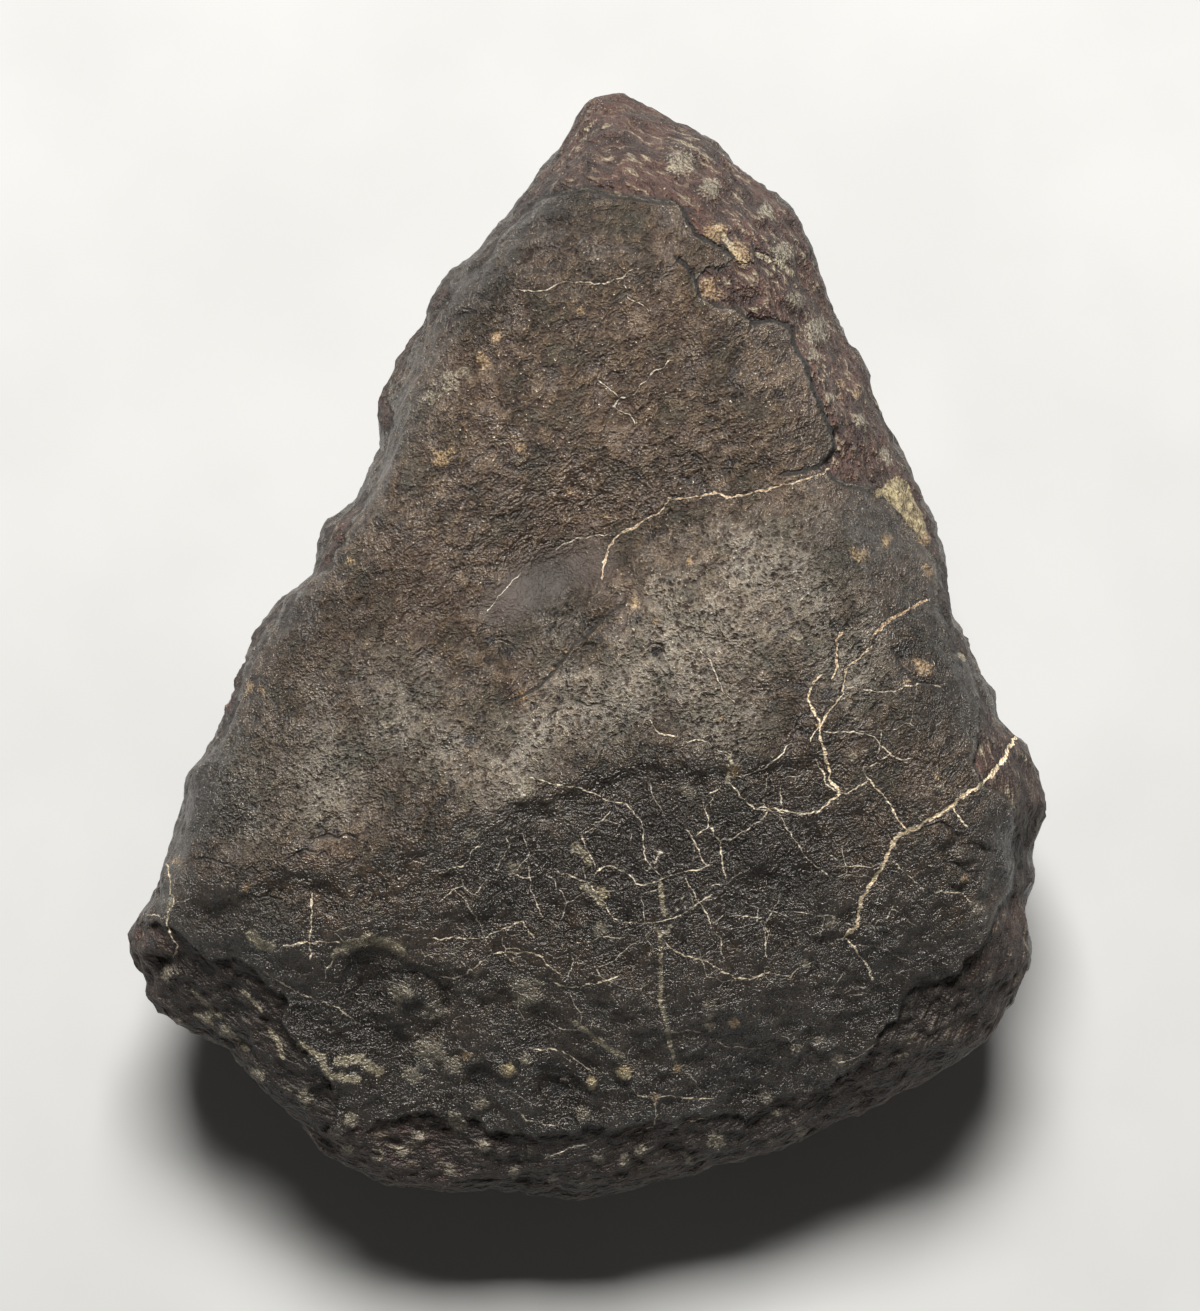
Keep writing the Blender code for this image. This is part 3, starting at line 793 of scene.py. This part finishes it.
class Nodes:
    """The node tree of a new material, with its Principled shader."""

    def __init__(self, name):
        self.material = bpy.data.materials.new(name)
        self.material.use_nodes = True
        self.tree = self.material.node_tree
        self.shader = self.tree.nodes["Principled BSDF"]

    def add(self, kind, settings=None, sockets=()):
        """A node of this kind, with its settings made first and then its sockets filled or linked."""
        node = self.tree.nodes.new(kind)
        for name, value in (settings or {}).items():
            setattr(node, name, value)
        pairs = sockets.items() if isinstance(sockets, dict) else enumerate(sockets)
        for key, value in pairs:
            self.fill(node.inputs[key], value)
        return node

    def fill(self, socket, value):
        if isinstance(value, Value):
            self.tree.links.new(value.socket, socket)
        elif isinstance(value, bpy.types.NodeSocket):
            self.tree.links.new(value, socket)
        else:
            socket.default_value = value

    def attribute(self, name):
        return Value(self, self.add("ShaderNodeAttribute", {"attribute_name": name}).outputs["Fac"])

    def places(self, size_mm, turn=None, stretch=(1.0, 1.0, 1.0)):
        """Object coordinates turned, then scaled so that one unit is this many millimetres."""
        coordinates = self.add("ShaderNodeTexCoord").outputs["Object"]
        unit = [size_mm * MM * factor for factor in stretch]
        if turn is None:
            return self.vector("DIVIDE", coordinates, unit)
        sockets = {"Vector": coordinates, "Rotation": turn, "Scale": unit}
        return self.add("ShaderNodeMapping", {"vector_type": "TEXTURE"}, sockets).outputs[0]

    def vector(self, operation, *inputs):
        node = self.add("ShaderNodeVectorMath", {"operation": operation}, inputs)
        return node.outputs["Value"] if operation == "LENGTH" else node.outputs["Vector"]

    def grey(self, value):
        return self.add("ShaderNodeCombineXYZ", {}, {"X": value, "Y": value, "Z": value}).outputs[0]

    def places_round(self, along_mm, across_mm):
        """Places in bands that run round the stone, this long and this wide."""
        coordinates = self.add("ShaderNodeTexCoord").outputs["Object"]
        flat = self.vector("MULTIPLY", coordinates, (1.0, 1.0, 0.0))
        level = Value(self, self.add("ShaderNodeSeparateXYZ", {}, [coordinates]).outputs["Z"])
        outward = Value(self, self.vector("LENGTH", flat))
        turned = self.vector("NORMALIZE", flat)
        round_it = STONE_RADIUS_MM / along_mm
        spread = self.vector("MULTIPLY", turned, (round_it, round_it, round_it))
        across = outward * (0.7 / (across_mm * MM))
        up = level * (1 / (across_mm * MM))
        step = self.add("ShaderNodeCombineXYZ", {}, {"X": across, "Y": across, "Z": up}).outputs[0]
        return self.vector("ADD", spread, step)

    def noise(self, size_mm, detail=3.0, warp=0.0, roughness=0.5, places=None, **where):
        node = self.add(
            "ShaderNodeTexNoise",
            {},
            {
                "Vector": places or self.places(size_mm, **where),
                "Scale": 1.0,
                "Detail": detail,
                "Roughness": roughness,
                "Distortion": warp,
            },
        )
        return Value(self, node.outputs["Fac"])

    def cell_edges(self, size_mm, warp):
        """Distance to the nearest edge in cells of this size, bent by up to this many cells."""
        places = self.places(size_mm)
        bend = self.add("ShaderNodeTexNoise", {}, {"Vector": places, "Scale": 1.6, "Detail": 2.0})
        bent = self.vector("MULTIPLY_ADD", bend.outputs["Color"], (warp, warp, warp), places)
        settings = {"feature": "DISTANCE_TO_EDGE"}
        node = self.add("ShaderNodeTexVoronoi", settings, {"Vector": bent, "Scale": 1.0})
        return Value(self, node.outputs["Distance"])

    def mix(self, factor, first, second):
        """The first colour where the factor is 0, and the second where it is 1."""
        node = self.add("ShaderNodeMix", {"data_type": "RGBA"})
        self.fill(node.inputs["Factor"], factor)
        colours = [socket for socket in node.inputs if socket.type == "RGBA"]
        self.fill(colours[0], first)
        self.fill(colours[1], second)
        return next(socket for socket in node.outputs if socket.type == "RGBA")


def colour(red, green, blue):
    """A linear colour from the 0 to 255 values seen on a screen."""
    parts = [value / 255 for value in (red, green, blue)]
    return (*[p / 12.92 if p < 0.04 else ((p + 0.055) / 1.055) ** 2.4 for p in parts], 1.0)


# Materials

# The flow of the melted crust: its turn about Z, and how much longer its wrinkles are than wide.
FLOW_TURN = (0.0, 0.0, 0.75)
FLOW_STRETCH = (1.35, 1.0, 1.2)

# The stone's usual distance from its middle to its edge.
STONE_RADIUS_MM = 95.0

# The usual spacing of the fine shrinkage cracks.
CRACKLE_MM = 11.0


def crack_edge(nodes, name, groups, wander, swell):
    """Millimetres inside a crack, below 0 outside it."""
    edge = None
    for number in range(groups):
        distance = abs(nodes.attribute(f"{name}_{number}") + wander)
        own = nodes.attribute(f"{name}_width_{number}") * swell - distance
        edge = own if edge is None else edge.most(own)
    return edge


def stone_material(filled_groups, open_groups):
    """The whole stone: crust, bare stone, clasts, flecks and the fill of its cracks."""
    nodes = Nodes("meteorite_stone")
    froth_and_sheen = nodes.attribute("froth_and_sheen")
    calm = nodes.attribute("calm")
    brown = nodes.attribute("brown")
    blotch = nodes.attribute("blotch")
    tint = nodes.attribute("tint")

    scales = nodes.noise(1.9, 3.0, 0.45, 0.62, turn=FLOW_TURN, stretch=FLOW_STRETCH)
    curls = nodes.noise(1.4, 2.0)
    worms = (1 - abs(curls - 0.5) * 7.0).most(0.0)
    fine = nodes.noise(0.5, 2.0, 0.0, 0.6)
    streaks = nodes.noise(1.0, 2.0, 0.0, 0.6, places=nodes.places_round(3.2, 1.6))

    crust = (nodes.attribute("crust") + (scales - 0.5) * 1.4 + (fine - 0.5) * 0.6).ramp(-0.12, 0.12)
    bare = 1 - crust
    wander = (nodes.noise(2.6, 2.0, 0.0, 0.62) - 0.5) * 1.7
    swell = curls.ramp(0.3, 0.7, 0.65, 1.3)
    edge = crack_edge(nodes, "crack", filled_groups, wander, swell)
    open_edge = crack_edge(nodes, "open", open_groups, wander * 0.7, swell)
    groove = open_edge.ramp(-0.3, 0.05)
    crackle = nodes.cell_edges(CRACKLE_MM, 0.32) * CRACKLE_MM
    hairs = nodes.attribute("crackle") * 0.6 - 0.59 - crackle + (blotch - 0.5) * 0.12
    edge = edge.most(hairs)
    gaps = (curls + fine * 0.5).ramp(0.55, 0.72, 0.035, 0.0)
    filled = (edge - gaps).ramp(-0.03, 0.05)
    painted_crack_shade = edge.ramp(-0.45, -0.02) * (1 - filled)

    rough_part = (1 - calm * 0.65) * tint.ramp(0.25, 0.75, 0.8, 1.5)
    crust_height = (scales - 0.5) * (1.6 + 0.3 * froth_and_sheen) + worms * (0.06 + 0.22 * froth_and_sheen)
    crust_height = crust_height + (fine - 0.5) * 0.8
    bare_height = (streaks - 0.5) * 2.2 + (curls - 0.5) * 0.7 + (fine - 0.5) * 0.8
    relief_mm = (crust_height * rough_part) * crust + bare_height * bare + crust * 0.7
    tops_worn_and_painted_lit = crust_height.ramp(-0.25, 0.5) * (1 - calm * 0.5)
    # Tiny pale specks painted as glints, on crust and bare stone alike.
    painted_glints = fine.ramp(0.68, 0.72)

    # Crust colour follows the bump height: darker pits painted as shade, under paler tops that are partly
    # a worn grey film and partly painted sheen.
    dark = nodes.mix(blotch, colour(21, 15, 12), colour(41, 30, 24))
    dark = nodes.mix(brown * 0.65, dark, colour(52, 38, 29))
    # Paler in the frothy tracts: partly the froth's own grey, partly painted sheen where the slope faces
    # the lamp.
    high = nodes.mix(froth_and_sheen, colour(92, 77, 61), colour(107, 96, 81))
    base = nodes.mix(tops_worn_and_painted_lit * 0.8, dark, high)
    base = nodes.mix(tint.ramp(0.55, 0.8) * 0.35, base, colour(62, 61, 52))
    # Pale crests of the frothy wrinkles: painted highlights.
    base = nodes.mix(worms * froth_and_sheen * 0.4, base, colour(144, 138, 127))
    # The smooth hollow painted dark brown: partly its own stain, partly painted shade.
    base = nodes.mix(calm * 0.85, base, colour(47, 34, 26))
    base = nodes.mix(painted_glints * (0.7 - calm * 0.5), base, colour(206, 194, 170))

    stone = nodes.mix(blotch, colour(44, 24, 19), colour(64, 38, 30))
    # Bare stone colour follows the bump height: its low parts painted darker as shade and its raised parts
    # painted paler as light.
    stone = nodes.mix(bare_height.ramp(0.0, -0.35) * 0.85, stone, colour(27, 15, 13))
    stone = nodes.mix(bare_height.ramp(0.05, 0.5) * 0.6, stone, colour(112, 94, 75))
    clasts = streaks.ramp(0.54, 0.68) * tint.ramp(0.42, 0.56)
    clast_grain = nodes.mix(fine.ramp(0.4, 0.6), colour(98, 90, 74), colour(158, 146, 120))
    stone = nodes.mix(clasts * 0.75, stone, clast_grain)
    stone = nodes.mix(painted_glints * 0.8, stone, colour(186, 172, 146))
    # Painted shadow on the bare stone just under the crust's ledge.
    painted_ledge_shadow = (nodes.attribute("crust") + (scales - 0.5) * 1.4).ramp(-0.9, -0.2) * bare
    stone = nodes.mix(painted_ledge_shadow * 0.85, stone, colour(20, 13, 11))
    lip = (nodes.attribute("crust") + (scales - 0.5) * 1.4).ramp(0.9, 0.3) * crust
    base = nodes.mix(lip * 0.35, base, colour(104, 98, 88))
    surface = nodes.mix(crust, stone, base)
    front = nodes.attribute("front")
    # Painted light and shade: the colour is scaled up in the paler tracts and down in the darker ones, and
    # the front, which faces away from the lamp, is painted darker as shade.
    painted_brightness = nodes.attribute("tone_and_painted_light") + 1.0 - front * 0.15
    surface = nodes.vector("MULTIPLY", surface, nodes.grey(painted_brightness))

    ragged = (scales - 0.5) * 1.7 + (fine - 0.5) * 1.2
    light_grain = nodes.mix(fine.ramp(0.4, 0.6), colour(88, 82, 72), colour(156, 146, 124))
    pale = (nodes.attribute("pale") + ragged).ramp(0.1, 0.6)
    surface = nodes.mix(pale * (0.5 + 0.2 * bare), surface, light_grain)
    band = (nodes.attribute("band") + ragged * 0.8).ramp(0.0, 0.5)
    band_grain = nodes.mix(fine.ramp(0.4, 0.6), colour(118, 108, 88), colour(188, 176, 146))
    surface = nodes.mix(band * 0.62, surface, band_grain)
    tan_grain = nodes.mix(fine.ramp(0.4, 0.6), colour(98, 76, 52), colour(176, 148, 108))
    tan = (nodes.attribute("tan") + ragged).ramp(0.15, 0.6)
    surface = nodes.mix(tan * 0.55, surface, tan_grain)
    cream = (nodes.attribute("cream") + (scales - 0.5) * 1.2).ramp(-0.1, 0.15)
    cream_grain = nodes.mix(curls.ramp(0.35, 0.65), colour(96, 84, 60), colour(158, 144, 108))
    surface = nodes.mix(cream * 0.85, surface, cream_grain)
    smooth_dark = (nodes.attribute("dark") + ragged * 0.5).ramp(0.1, 0.5)
    surface = nodes.mix(smooth_dark * 0.75, surface, colour(32, 31, 33))

    # The crack fill in two copies: dimmer on the lit slope and brighter on the front, standing in for the
    # light that falls there.
    fill_painted_dim_in_light = nodes.mix(fine.ramp(0.4, 0.6), colour(132, 98, 66), colour(206, 174, 134))
    fill_painted_bright_in_shade = nodes.mix(fine.ramp(0.4, 0.6), colour(196, 162, 118), colour(246, 230, 196))
    fill = nodes.mix(front, fill_painted_dim_in_light, fill_painted_bright_in_shade)
    hair = nodes.mix(curls.ramp(0.4, 0.6), colour(128, 119, 102), colour(190, 181, 162))
    fill = nodes.mix(edge.ramp(0.04, 0.16), hair, fill)
    # Painted shade: a dark band along both sides of each crack.
    surface = nodes.mix(painted_crack_shade * 0.6, surface, colour(28, 21, 17))
    surface = nodes.mix(filled * 0.95, surface, fill)
    # The open cracks painted near black inside, as the shade in them.
    surface = nodes.mix(open_edge.ramp(-0.16, 0.02) * 0.95, surface, colour(9, 6, 5))

    height = relief_mm - groove * 0.33
    bump = nodes.add("ShaderNodeBump", {}, {"Height": height, "Strength": 1.0, "Distance": 1.0 * MM})
    shine = fine * 0.25 + (1 - tops_worn_and_painted_lit) * 0.15 + bare * 0.25 + filled * 0.25 + calm * 0.5
    shine = shine + open_edge.ramp(-0.2, 0.0)
    nodes.fill(nodes.shader.inputs["Base Color"], surface)
    nodes.fill(nodes.shader.inputs["Roughness"], shine.ramp(0.0, 0.65, 0.16, 0.68))
    nodes.fill(nodes.shader.inputs["Normal"], bump.outputs[0])
    nodes.shader.inputs["Specular IOR Level"].default_value = 0.72
    nodes.shader.inputs["Specular Tint"].default_value = (1.0, 0.94, 0.87, 1.0)
    return nodes.material


def table_material():
    """A plain pale table top, very faintly mottled."""
    nodes = Nodes("pale_table")
    mottle = nodes.noise(60.0, 3.0)
    nodes.fill(
        nodes.shader.inputs["Base Color"],
        nodes.mix(mottle.ramp(0.3, 0.7), colour(168, 167, 164), colour(173, 172, 169)),
    )
    nodes.shader.inputs["Roughness"].default_value = 0.7
    return nodes.material


# Building

TABLE_HALF_WIDTH = 6.0
TABLE_GAP_MM = 0.1


def meteorite():
    """The stone, from a merged copy of its CAD form."""
    mesh = rounded_copy(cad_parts["meteorite"])
    refine(mesh)
    up = shape_surface(mesh)
    data = bpy.data.meshes.new("meteorite_surface")
    mesh.to_mesh(data)
    mesh.free()
    data.shade_smooth()
    filled_groups, open_groups = mark_surface(data, up)
    data.materials.append(stone_material(filled_groups, open_groups))
    stone = bpy.data.objects.new("meteorite_surface", data)
    bpy.context.scene.collection.objects.link(stone)
    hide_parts("meteorite")
    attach(stone, "root")


def table():
    mesh = bmesh.new()
    bmesh.ops.create_grid(mesh, x_segments=1, y_segments=1, size=TABLE_HALF_WIDTH)
    bmesh.ops.translate(mesh, verts=mesh.verts[:], vec=(0, 0, -TABLE_GAP_MM * MM))
    data = bpy.data.meshes.new("table")
    mesh.to_mesh(data)
    mesh.free()
    data.materials.append(table_material())
    top = bpy.data.objects.new("table", data)
    bpy.context.scene.collection.objects.link(top)


def camera():
    """The photograph's view, straight down, with its frame and scale."""
    data = bpy.data.cameras.new("camera")
    data.lens = LENS_MM
    data.sensor_width = SENSOR_MM
    eye = bpy.data.objects.new("camera", data)
    across, down = (CENTRE_PX - ORIGIN_PX) / PX_PER_MM
    eye.location = Vector((across, -down, CAMERA_HEIGHT_MM)) * MM
    bpy.context.scene.collection.objects.link(eye)
    bpy.context.scene.camera = eye


def softbox(name, place, target, size, power):
    """A rectangular lamp at a place, turned to a target."""
    data = bpy.data.lights.new(name, "AREA")
    data.shape = "RECTANGLE"
    data.size, data.size_y = size
    data.energy = power
    lamp = bpy.data.objects.new(name, data)
    lamp.location = place
    lamp.rotation_euler = (Vector(place) - Vector(target)).to_track_quat("Z", "Y").to_euler()
    bpy.context.scene.collection.objects.link(lamp)


def light():
    """A large lamp high behind the narrow end, a weak low one in front, and a dim even room."""
    world = bpy.data.worlds.new("room")
    bpy.context.scene.world = world
    world.use_nodes = True
    background = world.node_tree.nodes["Background"]
    background.inputs["Color"].default_value = colour(242, 239, 235)
    background.inputs["Strength"].default_value = 0.05
    softbox("key", (-0.05, 1.45, 1.85), (0, 0, 0.05), (0.9, 0.6), 140.0)
    softbox("fill", (0.5, -2.4, 0.6), (0, 0, 0.05), (1.6, 0.8), 6.0)
    bpy.context.scene.view_settings.view_transform = "Standard"


meteorite()
table()
camera()
light()
